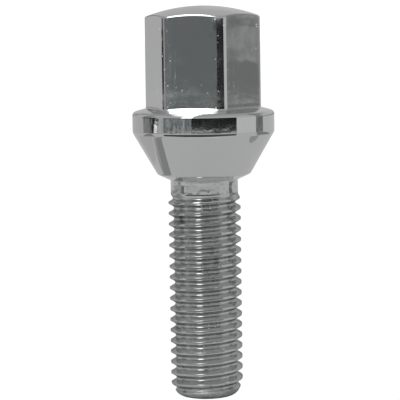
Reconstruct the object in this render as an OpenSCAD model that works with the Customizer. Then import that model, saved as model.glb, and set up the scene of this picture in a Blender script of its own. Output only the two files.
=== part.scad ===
// Wheel bolt: a hexagon head with a domed crown, a collar with a conical seat below it,
// a plain neck and a rolled metric thread with a chamfered end. It is one forging.
// It stands on its threaded end: Z = 0 is the end face, and +Z runs to the head.
// Two flats of the hexagon face -Y and +Y. All sizes are in millimetres.

/* [Thread] */
// Diameter over the thread crests
thread_d = 11.8; // [11.7:0.02:12]
// Diameter at the pitch line, halfway up the flanks
pitch_d = 10.86; // [10.76:0.02:10.9]
// Diameter at the thread roots
root_d = 10.06; // [9.7:0.02:10.06]
// Advance of the thread in one turn
pitch = 1.75; // [1.5:0.05:2]
// Radius in the bottom of the thread groove
root_round = 0.35; // [0.15:0.01:0.35]
// Length from the end face to the plain neck
thread_len = 33.7; // [20:0.1:60]
// Length over which the groove runs out below the neck
runout_len = 1.6; // [0.8:0.1:3]
// Angle round the end face where a crest meets it
thread_turn = 106; // [0:1:359]

/* [End] */
// Diameter of the flat end face, measured to its sharp corner
end_d = 9.7; // [9:0.1:11]
// Length of the chamfer that leads the thread in
lead_len = 2.3; // [1.5:0.1:5]
// Radius of the edge round the end face
end_round = 2; // [0.5:0.1:2.4]

/* [Neck] */
// Diameter of the plain neck, the blank that the thread is rolled on
neck_d = 11; // [10.9:0.02:11.4]
// Length of the plain neck, up to the underside of the seat
neck_len = 1.95; // [1:0.05:8]
// Radius of the fillet between neck and seat
neck_fillet = 0.4; // [0.2:0.05:0.8]

/* [Seat] */
// Full angle of the conical seat, in degrees
seat_angle = 60; // [50:1:90]
// Diameter at the foot of the cone, measured to its sharp corner
seat_foot_d = 15.2; // [14.5:0.1:18]
// Slope of the underside, from the neck up to the foot of the cone, in degrees
seat_under_slope = 25; // [15:1:45]
// Radius of the rounded foot of the cone
seat_foot_round = 4; // [0.5:0.1:4.5]

/* [Collar] */
// Diameter of the collar
collar_d = 23.1; // [21:0.1:26]
// Height of the collar's straight band
band_h = 3.25; // [2:0.05:6]
// Radius of the band's lower edge, towards the seat
band_foot_round = 0.3; // [0.2:0.1:1.5]
// Radius of the band's upper edge
rim_round = 0.5; // [0.2:0.05:0.8]
// Slope of the shoulder from the rim up to the hexagon, in degrees
shoulder_slope = 18; // [5:1:30]

/* [Hexagon] */
// Width of the hexagon across flats
hex_af = 16.8; // [16.73:0.01:17]
// Radius of the hexagon's six upright corners
hex_corner_round = 1.55; // [0.5:0.05:2]
// Height of the head from the collar's lower edge to the top of the crown
head_h = 20.45; // [14:0.05:30]
// Radius of the domed crown
crown_r = 26.3; // [20:0.1:60]

/* [Hidden] */
$fn = 96;

// Largest turn between two points of a rounded corner, in degrees
arc_step = 9;
// Facets in one turn of the thread
turn_steps = 36;
// Half of the angle between the thread's flanks
flank_angle = 30;
// How far one form reaches into the next, so that the two join as one
overlap = 0.05;

crest_r = thread_d / 2;
pitch_r = pitch_d / 2;
root_r = root_d / 2;
neck_r = neck_d / 2;
collar_r = collar_d / 2;
seat_foot_r = seat_foot_d / 2;
seat_under_h = (seat_foot_r - neck_r) * tan(seat_under_slope);
seat_h = (collar_r - seat_foot_r) / tan(seat_angle / 2);

neck_z = thread_len;
neck_top_z = neck_z + neck_len;
seat_z = neck_top_z + seat_under_h;
collar_z = seat_z + seat_h;
rim_z = collar_z + band_h;
top_z = collar_z + head_h;
shoulder_rise = collar_r * tan(shoulder_slope);

function unit(v) = v / norm(v);

// The arc of radius r that rounds corner b, between its neighbours a and c
function round_corner(a, b, c, r) =
    let (u = unit(a - b),
         w = unit(c - b),
         half = acos(u * w) / 2,
         centre = b + unit(u + w) * r / sin(half),
         from = b + u * r / tan(half) - centre,
         to = b + w * r / tan(half) - centre,
         sweep = 180 - 2 * half,
         steps = ceil(sweep / arc_step))
    [for (i = [0 : steps]) centre
        + (from * sin(sweep * (1 - i / steps)) + to * sin(sweep * i / steps)) / sin(sweep)];

// An outline from its sharp corners, each [x, y, radius]
function rounded(corners) =
    let (count = len(corners), at = [for (c = corners) [c[0], c[1]]])
    [for (i = [0 : count - 1]) each corners[i][2] == 0 ? [at[i]]
        : round_corner(at[(i + count - 1) % count], at[i], at[(i + 1) % count], corners[i][2])];

// Half of the outline of neck, seat and collar, as [distance from the axis, height, radius]
collar_outline = [
    [0, neck_z, 0],
    [neck_r, neck_z, 0],
    [neck_r, neck_top_z, neck_fillet],
    [seat_foot_r, seat_z, seat_foot_round],
    [collar_r, collar_z, band_foot_round],
    [collar_r, rim_z, rim_round],
    [0, rim_z + shoulder_rise, 0]
];

// Half of the outline that the thread is turned down to, open past the neck
lead_widening = (crest_r - end_d / 2) / lead_len;
shank_outline = [
    [0, 0, 0],
    [end_d / 2, 0, end_round],
    [crest_r + overlap, lead_len + overlap / lead_widening, 0],
    [crest_r + overlap, neck_top_z, 0],
    [0, neck_top_z, 0]
];

// Corners of the hexagon, with two flats facing -Y and +Y
hex_corners = [for (i = [0 : 5])
    [hex_af / sqrt(3) * cos(60 * i), hex_af / sqrt(3) * sin(60 * i), hex_corner_round]];

// One pitch of the thread's outline, as [height from the crest's middle, distance from the axis]
crest_half = pitch / 4 - (crest_r - pitch_r) * tan(flank_angle);
gullet_half = root_round * cos(flank_angle);
gullet_r = root_r + root_round * (1 - sin(flank_angle));
root_half = gullet_half / 3;
ridge = [
    [-crest_half, crest_r],
    [crest_half, crest_r],
    [pitch / 2 - gullet_half, gullet_r],
    [pitch / 2 - root_half, root_r],
    [pitch / 2 + root_half, root_r],
    [pitch / 2 + gullet_half, gullet_r]
];

// The thread starts below the end face and ends inside the neck, and is cut to length there
thread_start = -1.5 * pitch;
thread_turns = ceil((neck_z + overlap - thread_start) / pitch) + 1;
thread_steps = thread_turns * turn_steps;
blank_r = neck_r - overlap;

// Share of the full thread depth at a height: it fades to the plain blank below the neck
function depth_share(z) = min(1, max(0, (neck_z - z) / runout_len));

// A point of the thread: step round the helix, then one corner of the ridge's outline
function thread_point(step, corner) =
    let (turn = 360 * step / turn_steps,
         z = thread_start + pitch * step / turn_steps + corner[0],
         r = blank_r + (corner[1] - blank_r) * depth_share(z))
    [r * cos(turn), r * sin(turn), z];

// The threaded shank, with the groove as a helical strip whose edges meet after each turn
module thread_body() {
    corners = len(ridge);
    strip = [for (step = [0 : thread_steps]) for (corner = ridge) thread_point(step, corner)];
    upper_edge = [for (step = [1 : turn_steps]) thread_point(thread_steps + step, ridge[0])];
    low_centre = [0, 0, thread_start];
    high_centre = [0, 0, thread_start + pitch * (thread_turns + 1)];
    points = concat(strip, upper_edge, [low_centre, high_centre]);
    low = len(strip) + turn_steps;
    high = low + 1;
    last_turn = thread_steps - turn_steps;
    function at(step, i) = i < corners ? step * corners + i
        : step <= last_turn ? (step + turn_steps) * corners
        : len(strip) + step - last_turn - 1;
    sides = [for (step = [0 : thread_steps - 1]) for (i = [0 : corners - 1])
        each [[at(step, i), at(step, i + 1), at(step + 1, i + 1)],
              [at(step, i), at(step + 1, i + 1), at(step + 1, i)]]];
    ends = [for (step = [0 : turn_steps - 1])
        each [[low, at(step, 0), at(step + 1, 0)],
              [high, at(last_turn + step + 1, corners), at(last_turn + step, corners)]]];
    steps_down = [for (i = [0 : corners - 1])
        each [[low, at(0, i + 1), at(0, i)],
              [high, at(thread_steps, i), at(thread_steps, i + 1)]]];
    polyhedron(points, concat(sides, ends, steps_down));
}

// The thread, cut flat at its end and turned down to the chamfer that leads it in
module threaded_shank() {
    half_turn = 180;
    intersection() {
        rotate([0, 0, thread_turn - half_turn]) thread_body();
        rotate_extrude() polygon(rounded(shank_outline));
    }
}

// Neck, conical seat and collar, turned as one form
module collar() {
    rotate_extrude() polygon(rounded(collar_outline));
}

// The hexagon, cut off at the top by the dome of the crown
module hexagon_head() {
    intersection() {
        translate([0, 0, collar_z]) linear_extrude(head_h) polygon(rounded(hex_corners));
        translate([0, 0, top_z - crown_r]) sphere(crown_r);
    }
}

module wheel_bolt() {
    color("silver") {
        threaded_shank();
        collar();
        hexagon_head();
    }
}

wheel_bolt();
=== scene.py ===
import bpy
import numpy as np
from mathutils import Matrix, Vector


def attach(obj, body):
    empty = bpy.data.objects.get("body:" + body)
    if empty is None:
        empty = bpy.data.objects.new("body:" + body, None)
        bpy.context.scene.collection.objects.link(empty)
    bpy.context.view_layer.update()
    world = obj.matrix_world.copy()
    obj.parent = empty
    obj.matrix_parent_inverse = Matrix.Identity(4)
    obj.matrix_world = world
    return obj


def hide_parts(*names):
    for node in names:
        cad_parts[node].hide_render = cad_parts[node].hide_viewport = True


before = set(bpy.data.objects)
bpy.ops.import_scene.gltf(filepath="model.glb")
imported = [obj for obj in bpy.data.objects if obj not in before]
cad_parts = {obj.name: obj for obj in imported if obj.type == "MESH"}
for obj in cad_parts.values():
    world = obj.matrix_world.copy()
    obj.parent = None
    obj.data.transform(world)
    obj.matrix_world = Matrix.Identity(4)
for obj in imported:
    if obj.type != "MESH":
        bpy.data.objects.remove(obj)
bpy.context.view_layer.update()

# The photograph's view. The bolt stands upright and the camera looks at it from about 0.32 m,
# a little above the collar, with a long lens and a slight tilt. Lengths are in metres.
CAMERA_AZIMUTH = np.radians(10.5)
CAMERA_DISTANCE = 0.3247
CAMERA_HEIGHT = 0.0642
CAMERA_DOWN = np.radians(5.618)
CAMERA_ROLL = np.radians(-0.83)
CAMERA_YAW = np.radians(-0.130)
CAMERA_LENS = 179.66
SENSOR_WIDTH = 36.0
VIEW_RIGHT = np.array([np.cos(CAMERA_AZIMUTH), np.sin(CAMERA_AZIMUTH), 0.0])
VIEW_BACK = np.array([-np.sin(CAMERA_AZIMUTH), np.cos(CAMERA_AZIMUTH), 0.0])
UPWARD = np.array([0.0, 0.0, 1.0])


def aim_camera():
    """Camera axes from the view's azimuth and dip, rolled about the view and turned by yaw."""
    ahead = np.cos(CAMERA_DOWN) * VIEW_BACK - np.sin(CAMERA_DOWN) * UPWARD
    up = np.sin(CAMERA_DOWN) * VIEW_BACK + np.cos(CAMERA_DOWN) * UPWARD
    side = np.cos(CAMERA_ROLL) * VIEW_RIGHT + np.sin(CAMERA_ROLL) * up
    top = np.cos(CAMERA_ROLL) * up - np.sin(CAMERA_ROLL) * VIEW_RIGHT
    look = np.cos(CAMERA_YAW) * ahead + np.sin(CAMERA_YAW) * side
    side = np.cos(CAMERA_YAW) * side - np.sin(CAMERA_YAW) * ahead
    place = -CAMERA_DISTANCE * VIEW_BACK + CAMERA_HEIGHT * UPWARD
    matrix = np.eye(4)
    matrix[:3, 0], matrix[:3, 1], matrix[:3, 2], matrix[:3, 3] = side, top, -look, place
    return Matrix(matrix.tolist())


camera_data = bpy.data.cameras.new("camera")
camera_data.lens = CAMERA_LENS
camera_data.sensor_width = SENSOR_WIDTH
camera_data.clip_start = 0.01
camera_data.clip_end = 20.0
camera = bpy.data.objects.new("camera", camera_data)
bpy.context.collection.objects.link(camera)
camera.matrix_world = aim_camera()
bpy.context.scene.camera = camera

# The wheel bolt is one forging: hexagon head, collar and seat are struck to shape, and the
# thread is rolled on the shank, which leaves a chamfer at its end and a short run-out below
# the plain neck. Every edge is slightly rounded by the forging and by the plating over it.
MM = 0.001
THREAD_CREST = 5.9 * MM
THREAD_PITCH_RADIUS = 5.43 * MM
THREAD_ROOT = 5.03 * MM
THREAD_PITCH = 1.75 * MM
THREAD_START_TURN = 106.0 / 360.0
FLANK = np.radians(30.0)
CREST_ROUND = 0.07 * MM
ROOT_ROUND = 0.35 * MM
RUNOUT = 1.6 * MM
END_RADIUS = 4.85 * MM
END_ROUND = 2.0 * MM
LEAD_LENGTH = 2.3 * MM
LEAD_EDGE = 0.05 * MM
LEAD_BLEND = LEAD_LENGTH / 4
STRIP_FOOT = 0.4 * MM
NECK_RADIUS = 5.5 * MM
NECK_FOOT = 33.7 * MM
NECK_TOP = 35.65 * MM
NECK_FILLET = 0.2 * MM
SEAT_FOOT_RADIUS = 7.6 * MM
SEAT_UNDER_SLOPE = np.radians(25.0)
SEAT_FOOT = NECK_TOP + (SEAT_FOOT_RADIUS - NECK_RADIUS) * np.tan(SEAT_UNDER_SLOPE)
SEAT_FOOT_ROUND = 0.8 * MM
SEAT_HALF_ANGLE = np.radians(30.0)
COLLAR_RADIUS = 11.55 * MM
COLLAR_FOOT = SEAT_FOOT + (COLLAR_RADIUS - SEAT_FOOT_RADIUS) / np.tan(SEAT_HALF_ANGLE)
BAND_HEIGHT = 3.25 * MM
BAND_FOOT_ROUND = 1.3 * MM
RIM_ROUND = 0.75 * MM
SHOULDER_SLOPE = np.radians(21.0)
SHOULDER_BEND = 0.047 / MM
HEX_APOTHEM = 8.4 * MM
HEX_CORNER_ROUND = 1.55 * MM
HEX_FOOT_FILLET = 0.3 * MM
HEX_FOOT_SLOPE = np.radians(8.0)
CROWN_EDGE_ROUND = 0.33 * MM
CROWN_EDGE_REACH = 0.7 * CROWN_EDGE_ROUND
CROWN_RADIUS = 26.3 * MM
CROWN_TOP = COLLAR_FOOT + 20.45 * MM
DRAFT = 0.03 * MM

# How finely the surface is divided. Steps are the points on a rounded edge. Rows keep the shading
# of a side true, and are shares of the way along it, or heights above the neck's foot.
CORNER_TURN = np.radians(7.5)
CORNER_COLUMNS = 14
FLAT_COLUMNS = 16
CREST_STEPS, GROOVE_STEPS = 3, 4
NECK_STEPS, SEAT_STEPS, BAND_STEPS, RIM_STEPS = 7, 10, 12, 10
FOOT_STEPS, CROWN_EDGE_STEPS, END_STEPS = 8, 7, 7
FLANK_ROWS = (0.1, 0.9)
NECK_ROWS = (0.5 * MM, 1.1 * MM)
CONE_ROWS = (0.035, 0.25, 0.45, 0.65, 0.85, 0.945)
BAND_ROWS = (0.12, 0.3, 0.6, 0.82)
SHOULDER_ROWS = (0.1, 0.25, 0.4, 0.55, 0.7, 0.85, 0.95)
FLAT_ROWS = (0.15, 0.4, 0.6, 0.85)
CROWN_ROWS = np.linspace(0.95, 0.05, 14)
END_FACE_ROWS = (0.25, 0.6, 0.85)


def column_angles():
    """Angles of the mesh's columns: close together round each corner of the hexagon, and wider
    on its flats."""
    corner = np.linspace(-CORNER_TURN, CORNER_TURN, CORNER_COLUMNS, endpoint=False)
    flat = np.linspace(CORNER_TURN, np.pi / 3 - CORNER_TURN, FLAT_COLUMNS, endpoint=False)
    sector = np.concatenate([corner, flat])
    return np.concatenate([sector + k * np.pi / 3 for k in range(6)])


def hexagon_radius(angle, offset):
    """Distance from the axis to a hexagon with rounded corners that is moved outward by offset.
    On a flat it is the apothem over the cosine of the angle from the flat's middle; round a
    corner it is where the ray leaves the corner's circle."""
    corner = np.mod(angle, np.pi / 3)
    corner = np.minimum(corner, np.pi / 3 - corner)
    apothem = HEX_APOTHEM + offset
    bend = HEX_CORNER_ROUND + offset
    centre = (apothem - bend) / np.cos(np.pi / 6)
    on_flat = apothem / np.cos(np.pi / 6 - corner)
    inside = bend**2 - (centre * np.sin(corner)) ** 2
    on_corner = centre * np.cos(corner) + np.sqrt(np.maximum(inside, 0.0))
    bend_ends = np.arctan2(bend / 2, centre + bend * np.cos(np.pi / 6))
    return np.where(corner < bend_ends, on_corner, on_flat)


def arc(corner, before, after, radius, steps):
    """Points on the arc that rounds a profile's corner between the points before and after.
    They turn evenly from one tangent point to the other about the arc's centre."""
    corner, before, after = (np.asarray(p, float) for p in (corner, before, after))
    back = (before - corner) / np.linalg.norm(before - corner)
    on = (after - corner) / np.linalg.norm(after - corner)
    half = np.arccos(np.clip(back @ on, -1, 1)) / 2
    middle = back + on
    centre = corner + middle / np.linalg.norm(middle) * radius / np.sin(half)
    start = corner + back * radius / np.tan(half) - centre
    stop = corner + on * radius / np.tan(half) - centre
    sweep = np.pi - 2 * half
    t = np.linspace(0, 1, steps)[:, None]
    return centre + (start * np.sin(sweep * (1 - t)) + stop * np.sin(sweep * t)) / np.sin(sweep)


def end_arc(steps):
    """Points on the rounded edge of the end face, from the flat face to the lead-in chamfer."""
    return arc((END_RADIUS, 0), (0, 0), (THREAD_CREST, LEAD_LENGTH), END_ROUND, steps)


def lead_radius(height):
    """Radius of the blank at a height: the circle of the rounded edge, then the lead-in cone,
    which goes on beyond every crest."""
    face_edge, cone_edge = end_arc(2)
    circle = face_edge[0] + np.sqrt(np.maximum(END_ROUND**2 - (END_ROUND - height) ** 2, 0.0))
    slope = (THREAD_CREST - END_RADIUS) / LEAD_LENGTH
    return np.where(height < cone_edge[1], circle, END_RADIUS + slope * height)


def ridge_outline():
    """One pitch of the thread as (distance from the crest's middle, radius): a flat crest with
    rounded edges, flanks at 30 degrees, and a groove with a round bottom, mirrored about it.
    Two points near a flank's ends keep it flat in its shading."""
    half = THREAD_PITCH / 4 - (THREAD_CREST - THREAD_PITCH_RADIUS) * np.tan(FLANK)
    edge = (half, THREAD_CREST)
    down = (half + np.sin(FLANK) * MM, THREAD_CREST - np.cos(FLANK) * MM)
    crest = arc(edge, (0, THREAD_CREST), down, CREST_ROUND, CREST_STEPS)
    turn = np.linspace(FLANK, np.pi / 2, GROOVE_STEPS)
    groove = np.stack([THREAD_PITCH / 2 - ROOT_ROUND * np.cos(turn),
                       THREAD_ROOT + ROOT_ROUND * (1 - np.sin(turn))], axis=1)
    flank = crest[-1] + np.array(FLANK_ROWS)[:, None] * (groove[0] - crest[-1])
    falling = np.vstack([crest, flank, groove])
    rising = falling[-2::-1].copy()
    rising[:, 0] = THREAD_PITCH - rising[:, 0]
    return np.vstack([falling, rising])


def thread_strip(angles, low, high):
    """The rolled thread as a helical strip between two heights: each point climbs one pitch a
    turn, its radius fades to the plain blank at the run-out, and is the smooth minimum of thread
    and blank at the end. Points beyond the two heights are drawn back onto them."""
    outline = ridge_outline()
    columns = len(angles)
    spare_turns = 2
    first = int(np.floor(low / THREAD_PITCH)) - spare_turns
    turns = int(np.ceil((high - low) / THREAD_PITCH)) + 2 * spare_turns
    step = np.arange(turns * columns + 1)
    turn = first + step // columns + angles[step % columns] / (2 * np.pi) - THREAD_START_TURN
    height = THREAD_PITCH * turn[:, None] + outline[None, :, 0]
    radius = np.broadcast_to(outline[None, :, 1], height.shape)
    share = np.clip((high - height) / RUNOUT, 0, 1)
    share = share * share * (3 - 2 * share)
    radius = NECK_RADIUS + (radius - NECK_RADIUS) * share
    height = np.clip(height, low, high)
    blank = lead_radius(height)
    smooth = (radius + blank - np.sqrt((radius - blank) ** 2 + LEAD_EDGE**2)) / 2
    near_end = np.clip((height - low) / LEAD_BLEND, 0, 1)
    radius = np.where(height < 2 * LEAD_LENGTH, blank + (smooth - blank) * near_end, radius)
    angle = np.broadcast_to(angles[step % columns][:, None], height.shape)
    points = np.stack([radius * np.cos(angle), radius * np.sin(angle), height], axis=2)
    count = outline.shape[0]
    index = np.arange(points.shape[0] * count).reshape(-1, count)
    last = len(step) - columns
    ring = np.concatenate([index[:last], index[columns:, :1][:last]], axis=1)
    a, b = ring[:-1, :-1], ring[:-1, 1:]
    c, d = ring[1:, 1:], ring[1:, :-1]
    quads = np.stack([a, d, c, b], axis=2).reshape(-1, 4)
    return points.reshape(-1, 3), quads


def revolved_rows():
    """Round rows from the neck up to the rim, as (radius, height): an arc at each corner, and
    straight lines between them with a row close to each arc, which keeps them straight in
    their shading."""
    seat = (SEAT_FOOT_RADIUS, SEAT_FOOT)
    foot = (COLLAR_RADIUS, COLLAR_FOOT)
    rim = (COLLAR_RADIUS, COLLAR_FOOT + BAND_HEIGHT)
    neck = (NECK_RADIUS, NECK_TOP)
    inward = (COLLAR_RADIUS - MM, rim[1] + MM * np.tan(SHOULDER_SLOPE))
    parts = [
        [(NECK_RADIUS, NECK_FOOT + rise) for rise in NECK_ROWS],
        arc(neck, (NECK_RADIUS, NECK_FOOT), seat, NECK_FILLET, NECK_STEPS),
        arc(seat, neck, foot, SEAT_FOOT_ROUND, SEAT_STEPS),
        np.array(seat) + np.array(CONE_ROWS)[:, None] * (np.array(foot) - np.array(seat)),
        arc(foot, seat, rim, BAND_FOOT_ROUND, BAND_STEPS),
        [(COLLAR_RADIUS, COLLAR_FOOT + t * BAND_HEIGHT) for t in BAND_ROWS],
        arc(rim, foot, inward, RIM_ROUND, RIM_STEPS),
    ]
    return np.vstack(parts)


def head_rows(angles):
    """Rows of the head, each a radius and a height at every column: the shoulder, which slopes
    less towards the hexagon, the fillet at the hexagon's foot, the flats, the rounded edge of
    the crown and the crown."""
    rim_height = COLLAR_FOOT + BAND_HEIGHT

    def shoulder(radius):
        inward = COLLAR_RADIUS - radius
        return rim_height + inward * np.tan(SHOULDER_SLOPE) - SHOULDER_BEND * inward**2

    def crown(radius):
        return CROWN_TOP - CROWN_RADIUS + np.sqrt(CROWN_RADIUS**2 - radius**2)

    rows = []
    rim_tangent = RIM_ROUND * np.tan((np.pi / 2 - SHOULDER_SLOPE) / 2)
    rim_inside = COLLAR_RADIUS - rim_tangent * np.cos(SHOULDER_SLOPE)
    foot_reach = DRAFT + HEX_FOOT_FILLET * (1 - np.sin(HEX_FOOT_SLOPE))
    foot_outer = hexagon_radius(angles, foot_reach)
    for t in SHOULDER_ROWS:
        radius = rim_inside + t * (foot_outer - rim_inside)
        rows.append((radius, shoulder(radius)))
    flat_foot = shoulder(foot_outer) + HEX_FOOT_FILLET * np.cos(HEX_FOOT_SLOPE)
    for turn in np.linspace(np.pi / 2 - HEX_FOOT_SLOPE, 0, FOOT_STEPS):
        offset = DRAFT + HEX_FOOT_FILLET * (1 - np.cos(turn))
        rows.append((hexagon_radius(angles, offset), flat_foot - HEX_FOOT_FILLET * np.sin(turn)))
    edge_outer = hexagon_radius(angles, 0)
    edge_inner = hexagon_radius(angles, -CROWN_EDGE_REACH)
    edge_slope = np.arcsin(edge_outer / CROWN_RADIUS)
    flat_top = crown(edge_inner) - CROWN_EDGE_ROUND * np.cos(edge_slope)
    for t in FLAT_ROWS:
        radius = hexagon_radius(angles, DRAFT * (1 - t))
        rows.append((radius, flat_foot + t * (flat_top - flat_foot)))
    for turn in np.linspace(0, 1, CROWN_EDGE_STEPS):
        bend = turn * (np.pi / 2 - edge_slope)
        inward = (1 - np.cos(bend)) / (1 - np.sin(edge_slope))
        radius = edge_outer + (edge_inner - edge_outer) * inward
        rows.append((radius, flat_top + CROWN_EDGE_ROUND * np.sin(bend)))
    for t in CROWN_ROWS:
        rows.append((edge_inner * t, crown(edge_inner * t)))
    return rows


def bolt_mesh():
    """The whole bolt as one surface: the flat end, the thread strip, the round rows and
    the head's rows, joined ring to ring. It closes once merged() joins the points that coincide."""
    angles = column_angles()
    columns = len(angles)
    edge_heights = STRIP_FOOT * np.linspace(0, 1, END_STEPS) ** 2
    face_radius = lead_radius(0.0)
    low_rows = [(t * face_radius, 0.0) for t in END_FACE_ROWS]
    low_rows = low_rows + [(lead_radius(height), height) for height in edge_heights]
    strip_points, strip_quads = thread_strip(angles, STRIP_FOOT, NECK_FOOT)
    high_rows = [(NECK_RADIUS, NECK_FOOT)] + [tuple(p) for p in revolved_rows()]
    high_rows = high_rows + head_rows(angles)

    def ring(radius, height):
        radius = np.broadcast_to(radius, angles.shape)
        height = np.broadcast_to(height, angles.shape)
        return np.stack([radius * np.cos(angles), radius * np.sin(angles), height], axis=1)

    def grid(rows, start):
        points = np.vstack([ring(*row) for row in rows])
        index = start + np.arange(len(points)).reshape(len(rows), columns)
        after = np.roll(index, -1, axis=1)
        quads = np.stack([index[:-1], after[:-1], after[1:], index[1:]], axis=2).reshape(-1, 4)
        return points, quads, index

    low_points, low_quads, low_index = grid(low_rows, len(strip_points))
    high_points, high_quads, high_index = grid(high_rows, len(strip_points) + len(low_points))
    points = np.vstack([strip_points, low_points, high_points, [[0, 0, 0], [0, 0, CROWN_TOP]]])
    bottom, top = len(points) - 2, len(points) - 1
    after = np.roll(low_index[0], -1)
    low_cap = np.stack([after, low_index[0], np.full(columns, bottom), after], axis=1)
    after = np.roll(high_index[-1], -1)
    high_cap = np.stack([high_index[-1], after, np.full(columns, top), high_index[-1]], axis=1)
    faces = np.vstack([strip_quads, low_quads, high_quads, low_cap, high_cap])
    return points, faces


def merged(points, faces):
    """Points closer than a tenth of a micron become one. A face keeps its corners in order,
    without repeats, and faces left with fewer than three corners go."""
    keys = np.round(points / (1e-4 * MM)).astype(np.int64)
    _, chosen, new_index = np.unique(keys, axis=0, return_index=True, return_inverse=True)
    new_index = new_index.reshape(-1)
    faces = new_index[faces]
    fresh = faces != np.roll(faces, 1, axis=1)
    corners = fresh.sum(axis=1)
    four = faces[corners == 4]
    three = faces[corners == 3][fresh[corners == 3]].reshape(-1, 3)
    folded = (four[:, 0] == four[:, 2]) | (four[:, 1] == four[:, 3])
    return points[chosen], four[~folded].tolist() + three.tolist()


points, faces = merged(*bolt_mesh())
mesh = bpy.data.meshes.new("wheel_bolt_surface")
mesh.from_pydata(points.tolist(), [], faces)
mesh.polygons.foreach_set("use_smooth", np.ones(len(mesh.polygons), dtype=bool))
mesh.validate()
mesh.update()
bolt = bpy.data.objects.new("wheel_bolt_surface", mesh)
bpy.context.collection.objects.link(bolt)
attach(bolt, "root")
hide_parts("wheel_bolt")

# The finish is chrome over nickel on forged steel. It is bright all over, and a little thinner
# and duller in the thread, whose darker grey is partly painted shade. It follows the ripple of the
# forging. Spanners have scuffed the hexagon, mostly along its corners and near its foot, and
# handling has left small chips.
# Pale grey of worn plate, which also colours the painted sheen at the foot of the flats.
PLATE_WORN_AND_SHEEN = (0.80, 0.80, 0.79)
# Dark grey of grime, used also for painted shade in the thread's grooves.
GRIME_AND_SHADE_GREY = (0.16, 0.165, 0.16)
# Metallic of plain and of scuffed plate; the painted sheen lowers it as well.
SCUFFED_AND_SHEEN_METAL = (1.0, 0.2)


def math_node(tree, operation, *values):
    """One Math node whose inputs are sockets or numbers."""
    node = tree.nodes.new("ShaderNodeMath")
    node.operation = operation
    for slot, value in enumerate(values):
        if isinstance(value, (int, float)):
            node.inputs[slot].default_value = value
        else:
            tree.links.new(value, node.inputs[slot])
    return node.outputs[0]


def times(tree, first, second):
    """The first value times the second."""
    return math_node(tree, "MULTIPLY", first, second)


def larger(tree, first, second):
    """The larger of two values."""
    return math_node(tree, "MAXIMUM", first, second)


def rest_of(tree, share):
    """What a share leaves of one."""
    return math_node(tree, "SUBTRACT", 1.0, share)


def between(tree, share, away, full):
    """A value that goes from away to full as the share goes from 0 to 1."""
    return math_node(tree, "MULTIPLY_ADD", share, full - away, away)


def noise_node(tree, vector, scale, detail=2.0, roughness=0.5, lean=0.0):
    """One Noise Texture node on a vector, with its Fac output."""
    node = tree.nodes.new("ShaderNodeTexNoise")
    node.inputs["Scale"].default_value = scale
    node.inputs["Detail"].default_value = detail
    node.inputs["Roughness"].default_value = roughness
    node.inputs["Distortion"].default_value = lean
    tree.links.new(vector, node.inputs["Vector"])
    return node.outputs["Fac"]


def stretched(tree, vector, scale, turn=(0.0, 0.0, 0.0)):
    """Vector turned by angles in degrees and then scaled along each axis."""
    node = tree.nodes.new("ShaderNodeMapping")
    node.inputs["Rotation"].default_value = tuple(np.radians(turn))
    node.inputs["Scale"].default_value = scale
    tree.links.new(vector, node.inputs["Vector"])
    return node.outputs["Vector"]


def step_node(tree, value, low, high):
    """Map Range with smooth ends: 0 at low, 1 at high."""
    node = tree.nodes.new("ShaderNodeMapRange")
    node.interpolation_type = "SMOOTHSTEP"
    node.inputs["From Min"].default_value = low
    node.inputs["From Max"].default_value = high
    tree.links.new(value, node.inputs["Value"])
    return node.outputs["Result"]


def blend_node(tree, share, first, second):
    """Colour mixed from first to second by a share; each is a socket or a colour."""
    node = tree.nodes.new("ShaderNodeMix")
    node.data_type = "RGBA"
    tree.links.new(share, node.inputs["Factor"])
    for label, value in (("A", first), ("B", second)):
        socket = next(s for s in node.inputs if s.name == label and s.type == "RGBA")
        if isinstance(value, tuple):
            socket.default_value = (*value, 1.0)
        else:
            tree.links.new(value, socket)
    return next(s for s in node.outputs if s.type == "RGBA")


def new_group(name, outputs):
    """A shader node group that reads a place on the surface and puts out named values."""
    group = bpy.data.node_groups.new(name, "ShaderNodeTree")
    group.interface.new_socket("Place", in_out="INPUT", socket_type="NodeSocketVector")
    for label in outputs:
        group.interface.new_socket(label, in_out="OUTPUT", socket_type="NodeSocketFloat")
    place = group.nodes.new("NodeGroupInput").outputs["Place"]
    return group, place, group.nodes.new("NodeGroupOutput").inputs


def place_group(tree, group, place):
    """The group's outputs in a material, with its Place linked."""
    node = tree.nodes.new("ShaderNodeGroup")
    node.node_tree = group
    tree.links.new(place, node.inputs["Place"])
    return node.outputs


def forging_ripple():
    """Height of the ripple under the plating: swells about 4 mm long and a finer orange peel."""
    group, place, out = new_group("forging_ripple", ["Swell", "Peel"])
    swell = noise_node(group, place, scale=210.0, detail=1.0, roughness=0.4, lean=0.6)
    peel = noise_node(group, place, scale=1100.0, roughness=0.6)
    group.links.new(swell, out["Swell"])
    group.links.new(peel, out["Peel"])
    return group


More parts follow.
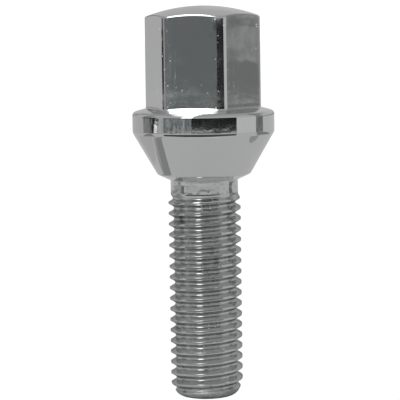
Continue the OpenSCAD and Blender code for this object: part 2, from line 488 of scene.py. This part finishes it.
def handling_marks():
    """Masks of streaks, chips, haze and stains. Streaks are a fine noise drawn out along the
    bolt, as a socket leaves them. A dot is the middle of a small random cell, and Pick is the
    cell's own random value, which says whether the dot is a chip. Haze is a cloudy noise, and
    Stain is a finer one that is drawn out round the bolt."""
    group, place, out = new_group("handling_marks", ["Streak", "Dot", "Pick", "Haze", "Stain"])
    along = stretched(group, place, scale=(1.0, 1.0, 0.05), turn=(3.0, 4.0, 0.0))
    lines = noise_node(group, along, scale=2600.0, roughness=0.6)
    lines = step_node(group, lines, low=0.60, high=0.68)
    patches = step_node(group, noise_node(group, place, scale=330.0), low=0.45, high=0.62)
    group.links.new(times(group, lines, patches), out["Streak"])
    cells = group.nodes.new("ShaderNodeTexVoronoi")
    cells.inputs["Scale"].default_value = 2200.0
    group.links.new(place, cells.inputs["Vector"])
    off_middle = step_node(group, cells.outputs["Distance"], low=0.10, high=0.42)
    group.links.new(rest_of(group, off_middle), out["Dot"])
    parts = group.nodes.new("ShaderNodeSeparateColor")
    group.links.new(cells.outputs["Color"], parts.inputs[0])
    group.links.new(parts.outputs["Red"], out["Pick"])
    haze = noise_node(group, place, scale=320.0, detail=5.0, roughness=0.65)
    group.links.new(haze, out["Haze"])
    level = stretched(group, place, scale=(1.0, 1.0, 2.2))
    stain = noise_node(group, level, scale=780.0, detail=4.0, roughness=0.7)
    group.links.new(stain, out["Stain"])
    return group


ripple_group = forging_ripple()
marks_group = handling_marks()


def plated_material(name):
    """A material, its node tree and shader, the ripple and the marks on it, the distance from
    the bolt's axis and the height."""
    material = bpy.data.materials.new(name)
    material.use_nodes = True
    tree = material.node_tree
    place = tree.nodes.new("ShaderNodeTexCoord").outputs["Object"]
    parts = tree.nodes.new("ShaderNodeSeparateXYZ")
    tree.links.new(place, parts.inputs[0])
    squares = [math_node(tree, "POWER", parts.outputs[axis], 2.0) for axis in "XY"]
    across = math_node(tree, "POWER", math_node(tree, "ADD", *squares), 0.5)
    ripple = place_group(tree, ripple_group, place)
    marks = place_group(tree, marks_group, place)
    return material, tree, tree.nodes["Principled BSDF"], ripple, marks, across, parts.outputs["Z"]


def bump_pair(tree, shader, ripple, swell_height, peel_height, share=1.0):
    """Two Bump nodes in a row, the swell and the peel on it, with heights in metres. The swell
    is scaled by a share, a number or a socket."""
    swell = tree.nodes.new("ShaderNodeBump")
    swell.inputs["Distance"].default_value = swell_height
    tree.links.new(times(tree, ripple["Swell"], share), swell.inputs["Height"])
    peel = tree.nodes.new("ShaderNodeBump")
    peel.inputs["Distance"].default_value = peel_height
    tree.links.new(ripple["Peel"], peel.inputs["Height"])
    tree.links.new(swell.outputs["Normal"], peel.inputs["Normal"])
    tree.links.new(peel.outputs["Normal"], shader.inputs["Normal"])


# The bright plate. Names that end in START or END are the heights, or distances from the axis,
# between which a mark comes or goes. Other values in two parts hold away from the zone or the
# wear that they follow, and in it.
PLATE_GREY = (0.680, 0.690, 0.684)
HEAD_START = (COLLAR_FOOT + BAND_HEIGHT, COLLAR_FOOT + BAND_HEIGHT + MM)
CORNER_START = (HEX_APOTHEM + 0.50 * MM, HEX_APOTHEM + 0.80 * MM)
SCUFFS_END = (COLLAR_FOOT + 5 * MM, COLLAR_FOOT + 11 * MM)
FLATS_START = (COLLAR_FOOT + 4.2 * MM, COLLAR_FOOT + 4.8 * MM)
# Where the painted sheen, a lighter band at the foot of the flats, fades out.
SHEEN_END = (COLLAR_FOOT + 5.9 * MM, COLLAR_FOOT + 7.8 * MM)
NECK_STAIN_END = (NECK_FOOT + 0.2 * MM, NECK_FOOT + 1.3 * MM)
NECK_END = (NECK_TOP - 0.3 * MM, NECK_TOP)
FOOT_WEAR = 0.6
CHIP_LIMIT = (0.985, 0.815)
CHIP_SHARE = 0.7
STREAK_SHARE = (0.04, 0.54)
# Strength of the painted sheen between its speckles and on them.
SHEEN_SHARE = (0.012, 0.102)
STAIN_SHARE = (0.85, 0.30)
HAZE_SHARE = (0.015, 0.080)
SWELL_SHARE = (0.3, 1.0)
PLATE_ROUGHNESS = 0.035
WEAR_ROUGHNESS = 0.05
SCUFF_AND_SHEEN_ROUGHNESS = 0.4
PLATE_SWELL = 0.035 * MM
PLATE_PEEL = 0.0022 * MM


def bright_plate():
    """Chrome of head, collar and neck. Chips are thickest along the hexagon's corners, and
    streaks on the lower part of its flats, with a speckled painted sheen, a lighter and less
    metallic band, at their foot. Grime stains the neck, and haze makes the plate a little rougher."""
    material, tree, shader, ripple, marks, across, height = plated_material("bright_plate")
    on_head = step_node(tree, height, *HEAD_START)
    corners = step_node(tree, across, *CORNER_START)
    foot = times(tree, on_head, rest_of(tree, step_node(tree, height, *SCUFFS_END)))
    wear = times(tree, on_head, larger(tree, corners, times(tree, foot, FOOT_WEAR)))
    over = math_node(tree, "SUBTRACT", marks["Pick"], between(tree, wear, *CHIP_LIMIT))
    picked = step_node(tree, over, low=0.0, high=0.12)
    chip = times(tree, picked, times(tree, marks["Dot"], CHIP_SHARE))
    streak = times(tree, marks["Streak"], between(tree, foot, *STREAK_SHARE))
    on_flats = step_node(tree, height, *FLATS_START)
    # Painted sheen: the lower flats are made lighter, in speckles, in place of reflected light.
    at_sheen = times(tree, on_flats, rest_of(tree, step_node(tree, height, *SHEEN_END)))
    speckle = step_node(tree, marks["Stain"], low=0.42, high=0.68)
    painted_sheen = times(tree, at_sheen, between(tree, speckle, *SHEEN_SHARE))
    scuff_and_sheen = larger(tree, larger(tree, chip, streak), painted_sheen)
    off_foot = step_node(tree, height, *NECK_STAIN_END)
    on_neck = rest_of(tree, step_node(tree, height, *NECK_END))
    stain_share = times(tree, on_neck, between(tree, off_foot, *STAIN_SHARE))
    spots = step_node(tree, marks["Stain"], low=0.50, high=0.62)
    stain = times(tree, spots, stain_share)
    worn = blend_node(tree, scuff_and_sheen, PLATE_GREY, PLATE_WORN_AND_SHEEN)
    tree.links.new(blend_node(tree, stain, worn, GRIME_AND_SHADE_GREY), shader.inputs["Base Color"])
    tree.links.new(between(tree, scuff_and_sheen, *SCUFFED_AND_SHEEN_METAL), shader.inputs["Metallic"])
    clouds = step_node(tree, marks["Haze"], low=0.45, high=0.75)
    haze = times(tree, clouds, between(tree, on_flats, *HAZE_SHARE))
    rough = math_node(tree, "ADD", haze, PLATE_ROUGHNESS)
    rough = math_node(tree, "MULTIPLY_ADD", wear, WEAR_ROUGHNESS, rough)
    rough = math_node(tree, "MULTIPLY_ADD", scuff_and_sheen, SCUFF_AND_SHEEN_ROUGHNESS, rough)
    tree.links.new(rough, shader.inputs["Roughness"])
    swell_share = between(tree, on_flats, *SWELL_SHARE)
    bump_pair(tree, shader, ripple, PLATE_SWELL, PLATE_PEEL, swell_share)
    return material


# The thread's plate, with its zones and shares given in the same way.
# A grey darker than the head's: duller plating, and partly painted shade.
THREAD_GREY_AND_SHADE = (0.625, 0.640, 0.632)
THREAD_EDGE_GREY = (0.58, 0.59, 0.59, 1.0)
CREST_START = (THREAD_ROOT + 0.45 * MM, THREAD_CREST - 0.05 * MM)
SPECKS_END = (2.0 * MM, 4.5 * MM)
END_EDGE_END = (1.2 * MM, 2.2 * MM)
# Grime share in the grooves and on the crests; the grooves' larger share is painted shade.
GROOVE_GRIME_AND_SHADE = (0.55, 0.10)
SPECK_SHARE = 0.55
THREAD_CHIP_SHARE = 0.5
END_ROUGHNESS = (0.17, 0.42)
CREST_ROUGHNESS = -0.05
THREAD_CHIP_ROUGHNESS = 0.3
THREAD_SWELL = 0.03 * MM
THREAD_PEEL = 0.006 * MM


def thread_plate():
    """Chrome of the rolled thread, in a grey darkened partly as painted shade: duller in the
    grooves and round the end, with grime in patches that painted shade makes heavier in the
    grooves, dark specks near the end and fine chips."""
    material, tree, shader, ripple, marks, across, height = plated_material("thread_plate")
    on_crest = step_node(tree, across, *CREST_START)
    patches = step_node(tree, marks["Haze"], low=0.56, high=0.72)
    # Grime in patches, made heavier in the grooves as painted shade.
    grime_and_shade_in_grooves = times(tree, patches, between(tree, on_crest, *GROOVE_GRIME_AND_SHADE))
    by_end = rest_of(tree, step_node(tree, height, *SPECKS_END))
    spots = step_node(tree, marks["Stain"], low=0.52, high=0.62)
    specks = times(tree, times(tree, spots, by_end), SPECK_SHARE)
    grime_and_shade = larger(tree, grime_and_shade_in_grooves, specks)
    dirty_and_shaded = blend_node(tree, grime_and_shade, THREAD_GREY_AND_SHADE, GRIME_AND_SHADE_GREY)
    picked = step_node(tree, marks["Pick"], low=0.90, high=0.98)
    chip = times(tree, picked, times(tree, marks["Dot"], THREAD_CHIP_SHARE))
    tree.links.new(blend_node(tree, chip, dirty_and_shaded, PLATE_WORN_AND_SHEEN), shader.inputs["Base Color"])
    tree.links.new(between(tree, chip, *SCUFFED_AND_SHEEN_METAL), shader.inputs["Metallic"])
    on_end_edge = rest_of(tree, step_node(tree, height, *END_EDGE_END))
    rough = between(tree, on_end_edge, *END_ROUGHNESS)
    rough = math_node(tree, "MULTIPLY_ADD", on_crest, CREST_ROUGHNESS, rough)
    rough = math_node(tree, "MULTIPLY_ADD", chip, THREAD_CHIP_ROUGHNESS, rough)
    tree.links.new(rough, shader.inputs["Roughness"])
    shader.inputs["Specular Tint"].default_value = THREAD_EDGE_GREY
    bump_pair(tree, shader, ripple, THREAD_SWELL, THREAD_PEEL)
    return material


bolt.data.materials.append(bright_plate())
bolt.data.materials.append(thread_plate())
centres = np.empty(3 * len(mesh.polygons))
mesh.polygons.foreach_get("center", centres)
in_thread = centres.reshape(-1, 3)[:, 2] < NECK_FOOT
mesh.polygons.foreach_set("material_index", in_thread.astype(np.int32))

# The studio: a white floor under an even white sky, and a tent of grey, black and white cards
# round the bolt. The cards show only in reflections, as they do in polished chrome.
FLOOR_RADIUS = 3.0
FLOOR_SIDES = 96
FLOOR_WHITE = 1.02
FLOOR_GREY = 0.46
SKY = 1.10
TENT_RADIUS = 0.42
STRIP_GAP = 2 * MM
CARD_STEP = 4.0
CLOTH_HEIGHT = 0.2 * MM
FOLDS_END = (25 * MM, 29 * MM)
WHITE = (1.0, 1.0, 1.0)
SLATE = (0.94, 1.0, 1.02)
PEWTER = (0.98, 1.0, 1.0)
EVEN = (0.0, 0.0)
LOW_RISE = (31, 36)


def glow(name, tint, shines, shares=EVEN, rise=LOW_RISE):
    """A cloth that shines. Its brightness goes from the first to the second of shines over the
    heights of rise, in mm. Level folds near the floor lighten and darken it by the first of
    shares, and a soft cloudy noise does so by the second above the rise."""
    low_shine, high_shine = shines
    fold_share, cloud_share = shares
    material = bpy.data.materials.new(name)
    material.use_nodes = True
    tree = material.node_tree
    tree.nodes.clear()
    place = tree.nodes.new("ShaderNodeTexCoord").outputs["Object"]
    parts = tree.nodes.new("ShaderNodeSeparateXYZ")
    tree.links.new(place, parts.inputs[0])
    height = parts.outputs["Z"]
    risen = step_node(tree, height, rise[0] * MM, rise[1] * MM)
    drawn = stretched(tree, place, scale=(30, 30, 900))
    folds = noise_node(tree, drawn, scale=1.0, detail=3.0)
    swing = between(tree, step_node(tree, folds, low=0.38, high=0.62), -fold_share, fold_share)
    folding = times(tree, swing, rest_of(tree, step_node(tree, height, *FOLDS_END)))
    low = math_node(tree, "MULTIPLY_ADD", folding, low_shine, low_shine)
    clouds = noise_node(tree, place, scale=70.0, detail=3.0)
    clouds = step_node(tree, clouds, low=0.3, high=0.7)
    high = times(tree, between(tree, clouds, 1 - cloud_share, 1 + cloud_share), high_shine)
    lower = times(tree, low, rest_of(tree, risen))
    shine = tree.nodes.new("ShaderNodeEmission")
    shine.inputs["Color"].default_value = (*tint, 1.0)
    strength = math_node(tree, "MULTIPLY_ADD", high, risen, lower)
    tree.links.new(strength, shine.inputs["Strength"])
    out = tree.nodes.new("ShaderNodeOutputMaterial")
    tree.links.new(shine.outputs[0], out.inputs[0])
    return material


def stage_cloth(name, points, faces, cloth):
    """A piece of the stage. Only glossy rays see it, and it casts no shadow."""
    made = bpy.data.meshes.new(name)
    made.from_pydata(points.tolist(), [], faces)
    made.materials.append(cloth)
    piece = bpy.data.objects.new(name, made)
    bpy.context.collection.objects.link(piece)
    piece.visible_camera = False
    piece.visible_diffuse = False
    piece.visible_transmission = False
    piece.visible_shadow = False


def inward_faces(rows, columns):
    """Faces between the neighbours in a grid of points, which look at the bolt."""
    index = np.arange(rows * columns).reshape(rows, columns)
    corners = [index[:-1, 1:], index[:-1, :-1], index[1:, :-1], index[1:, 1:]]
    return np.stack(corners, axis=2).reshape(-1, 4).tolist()


def hang_card(radius, name, around, heights, shines, tint=WHITE, shares=EVEN, rise=LOW_RISE):
    """A card bent round the bolt at a radius: points on a circle at two heights in mm, from one
    azimuth to the other. Azimuths are degrees from the camera's right: the camera stands at -90
    and the back is at 90."""
    steps = int((around[1] - around[0]) / CARD_STEP) + 2
    turns = np.radians(np.linspace(*around, steps)) + CAMERA_AZIMUTH
    across, up = np.meshgrid(turns, np.array(heights) * MM)
    wall = np.stack([radius * np.cos(across), radius * np.sin(across), up], axis=2)
    cloth = glow(name, tint, shines, shares, rise)
    stage_cloth(name, wall.reshape(-1, 3), inward_faces(len(heights), steps), cloth)


# Each card's name, azimuths, heights and brightnesses, and then its tint, shares and rise where
# they aren't the usual ones.
CARDS = [
    ("back_right_card", (21.0, 90.0), (6, 260), (0.56, 0.54)),
    ("back_left_card", (90.0, 157.0), (6, 260), (0.50, 0.50)),
    ("left_edge_card", (157.0, 174.0), (6, 400), (0.24, 0.25), WHITE, (0.2, 0.3)),
    ("left_gap", (174.0, 187.5), (6, 120), (0.14, 0.10), WHITE, (0.9, 0.3)),
    ("left_fold", (187.5, 191.0), (6, 120), (0.26, 0.20), WHITE, (0.6, 0.3)),
    ("left_card", (191.0, 203.0), (6, 120), (0.44, 0.46), WHITE, (0.15, 0.1)),
    ("front_left_card", (203.0, 251.0), (17.2, 120), (0.212, 0.168), SLATE, (0.9, 0.02)),
    ("front_card", (251.0, 325.0), (17.2, 100), (0.017, 0.022), SLATE, (1.0, 0.4)),
    ("right_card", (325.0, 363.0), (6, 120), (0.60, 0.56), WHITE, (0.03, 0.05)),
    ("right_edge_card", (363.0, 381.0), (6, 100), (0.20, 0.285), PEWTER, (0.25, 0.30), (42, 47)),
]
for card in CARDS:
    hang_card(TENT_RADIUS, *card)

# Narrow strips, which hang just in front of the cards.
STRIPS = [
    ("back_right_strip", (21.0, 84.0), (30, 85), (0.34, 0.34)),
    ("back_left_strip", (96.0, 118.0), (30, 85), (0.34, 0.34)),
    ("left_corner_strip", (154.0, 187.5), (27, 59), (0.035, 0.035)),
    ("left_shade_strip", (117.0, 128.0), (100, 260), (0.20, 0.30), WHITE, EVEN, (120, 160)),
    ("dark_strip_side", (178.5, 184.0), (17.5, 21.3), (0.03, 0.03)),
    ("dark_strip_top", (181.0, 194.0), (21.3, 26.0), (0.02, 0.02)),
    ("sparkle_high", (184.0, 191.0), (19.0, 20.3), (1.4, 1.4)),
    ("sparkle_top", (186.5, 190.0), (20.3, 21.1), (1.1, 1.1)),
    ("sparkle_low", (183.0, 189.0), (16.6, 18.2), (1.6, 1.6)),
]
for strip in STRIPS:
    hang_card(TENT_RADIUS - STRIP_GAP, *strip)


def dome_patch(name, around, elevations, radius, brightness):
    """A piece of a dome round the origin that shines inwards: points at azimuths and elevations
    in degrees."""
    columns, rows = 49, 25
    turns = np.radians(np.linspace(*around, columns)) + CAMERA_AZIMUTH
    across, up = np.meshgrid(turns, np.radians(np.linspace(*elevations, rows)))
    dome = radius * np.stack([np.cos(up) * np.cos(across), np.cos(up) * np.sin(across),
                              np.sin(up)], axis=2)
    cloth = glow(name, WHITE, (brightness, brightness))
    stage_cloth(name, dome.reshape(-1, 3), inward_faces(rows, columns), cloth)


dome_patch("tent_wall", (0, 360), (0, 46), 0.6, 0.495)
dome_patch("tent_roof", (0, 360), (46, 89.9), 0.6, 0.40)
dome_patch("key_softbox", (-126.5, -112.5), (18, 80), 0.5, 3.3)
dome_patch("key_side", (-112.5, -108), (18, 50), 0.5, 3.3)
dome_patch("key_wing", (-180, -126.5), (62, 84), 0.5, 3.3)
dome_patch("left_shade", (108, 132), (30, 52), 0.55, 0.30)
dome_patch("right_shade", (3, 40), (12, 52), 0.55, 0.28)


def floor_cloth(name, corners, brightness):
    """A cloth flat on the floor. Its corners are mm to the right and to the back, as the camera
    sees them, in order round the cloth from above."""
    corners = np.array(corners) * MM
    flat = corners[:, :1] * VIEW_RIGHT + corners[:, 1:] * VIEW_BACK + CLOTH_HEIGHT * UPWARD
    cloth = glow(name, WHITE, (brightness, brightness))
    stage_cloth(name, flat, [list(range(len(flat)))], cloth)


def block(left, right, front, back):
    """The four corners of a cloth whose sides run along the view."""
    return [(left, front), (right, front), (right, back), (left, back)]


def ring_part(near, far, around):
    """The corners of a cloth cut from a ring round the bolt, from one azimuth in degrees to the
    other. Its far edge is a circle, and its near edge goes through radii in mm that are spread
    evenly along it."""
    steps = 13
    turns = np.radians(np.linspace(*around, steps))
    inner = np.interp(turns, np.radians(np.linspace(*around, len(near))), near)
    outer = np.full(steps, far)
    return [(reach * np.cos(turn), reach * np.sin(turn))
            for reach, turn in [*zip(outer, turns), *zip(inner[::-1], turns[::-1])]]


# Painted shadow: a dark sheet with a paler fringe on the floor, left of the bolt, stands in for
# the bolt's shadow that the chrome mirrors.
floor_cloth("left_shadow_sheet", [(-54.8, -12), (-50.8, -12), (-42.8, 10), (-36, 70), (-44, 70),
                           (-52.5, 30)], 0.28)
floor_cloth("left_shadow_fringe", [(-57.5, -12), (-54.8, -12), (-52.5, 30), (-44, 70), (-48, 70),
                                  (-55.5, 30)], 0.37)
floor_cloth("right_cloth", [(51.5, 5), (54, 4.5), (61.5, 20), (80, 30), (80, 42), (61, 27),
                            (55, 14)], 0.34)
floor_cloth("left_side_paper", block(-73, -57.8, -20, 100), 0.48)
floor_cloth("left_near_cloth", block(-300, -75, 0, 50), 0.26)
floor_cloth("left_far_cloth", block(-400, -300, -110, -20), 0.22)
floor_cloth("left_side_cloth", block(-400, -300, -20, 300), 0.38)
floor_cloth("right_far_cloth", block(75, 400, 15, 110), 0.24)
floor_cloth("front_cloth", ring_part([75, 62, 50, 47, 50, 62, 75], 190, (203, 325)), 0.08)
floor_cloth("front_far_cloth", ring_part([300, 300], 418, (203, 325)), 0.48)
floor_cloth("front_paper", ring_part([38, 38], 46, (240, 300)), 0.74)


def floor_material():
    """Paper lit from behind, so it is plain white to the eye. In the chrome it shows as a mid
    grey, shaded by the bolt."""
    material = bpy.data.materials.new("floor_paper")
    material.use_nodes = True
    tree = material.node_tree
    tree.nodes.clear()
    white = tree.nodes.new("ShaderNodeEmission")
    white.inputs["Strength"].default_value = FLOOR_WHITE
    grey = tree.nodes.new("ShaderNodeBsdfDiffuse")
    grey.inputs["Color"].default_value = (FLOOR_GREY, FLOOR_GREY, FLOOR_GREY, 1)
    paths = tree.nodes.new("ShaderNodeLightPath")
    mix = tree.nodes.new("ShaderNodeMixShader")
    tree.links.new(paths.outputs["Is Glossy Ray"], mix.inputs[0])
    tree.links.new(white.outputs[0], mix.inputs[1])
    tree.links.new(grey.outputs[0], mix.inputs[2])
    out = tree.nodes.new("ShaderNodeOutputMaterial")
    tree.links.new(mix.outputs[0], out.inputs[0])
    return material


floor_turns = np.linspace(0, 2 * np.pi, FLOOR_SIDES, endpoint=False)
floor_edge = FLOOR_RADIUS * np.stack([np.cos(floor_turns), np.sin(floor_turns),
                                      np.zeros(FLOOR_SIDES)], axis=1)
floor_mesh = bpy.data.meshes.new("floor")
floor_mesh.from_pydata(floor_edge.tolist(), [], [list(range(FLOOR_SIDES))])
floor_mesh.materials.append(floor_material())
floor = bpy.data.objects.new("floor", floor_mesh)
bpy.context.collection.objects.link(floor)

world = bpy.data.worlds.new("sky")
bpy.context.scene.world = world
world.use_nodes = True
sky = world.node_tree.nodes["Background"]
sky.inputs["Color"].default_value = (1, 1, 1, 1)
sky.inputs["Strength"].default_value = SKY

# A weak lamp high at the front left. It lights the scuffs on the bolt and the grey floor that
# the chrome mirrors.
LAMP_PLACE = Vector((-0.35, -0.5, 0.8))
lamp_data = bpy.data.lights.new("key_light", "AREA")
lamp_data.shape = "DISK"
lamp_data.size = 0.5
lamp_data.energy = 1.2
lamp = bpy.data.objects.new("key_light", lamp_data)
bpy.context.collection.objects.link(lamp)
lamp.location = LAMP_PLACE
lamp.rotation_euler = (-LAMP_PLACE).to_track_quat("-Z", "Y").to_euler()
lamp.visible_glossy = False
lamp.visible_camera = False

bpy.context.scene.view_settings.view_transform = "Standard"
